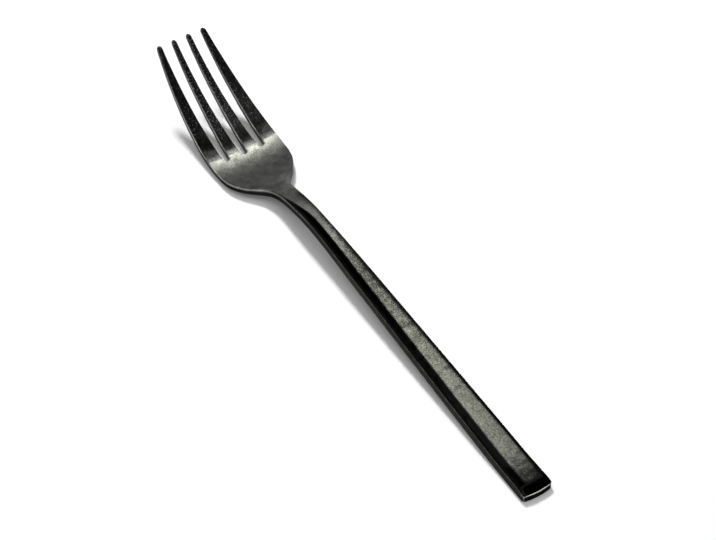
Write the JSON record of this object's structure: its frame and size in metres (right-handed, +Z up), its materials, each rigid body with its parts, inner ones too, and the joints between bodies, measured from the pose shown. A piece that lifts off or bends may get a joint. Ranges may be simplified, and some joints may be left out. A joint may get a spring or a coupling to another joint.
{
  "type": "dinner fork",
  "caption": "Dinner fork in dark stonewashed steel: dished head with slim curved tines, brazed by a tang into a tapered, crowned bar handle with a square-cut end",
  "frame": {"origin": "on the table plane, under the middle of the fork's length and width", "axes": "+X from the handle's end to the tine tips, +Y across to the fork's left as seen from the handle's end, +Z up, with the tines pointing up and forward"},
  "size_m": [0.2052, 0.0256, 0.0234],
  "materials": {
    "dark_steel": "stonewashed dark steel with a fine pale speckle on the raised faces",
    "braze": "silver braze"
  },
  "bodies": {
    "root": {"fork_head": "dark_steel", "handle": "dark_steel", "braze_joint": "braze"}
  },
  "joints": []
}
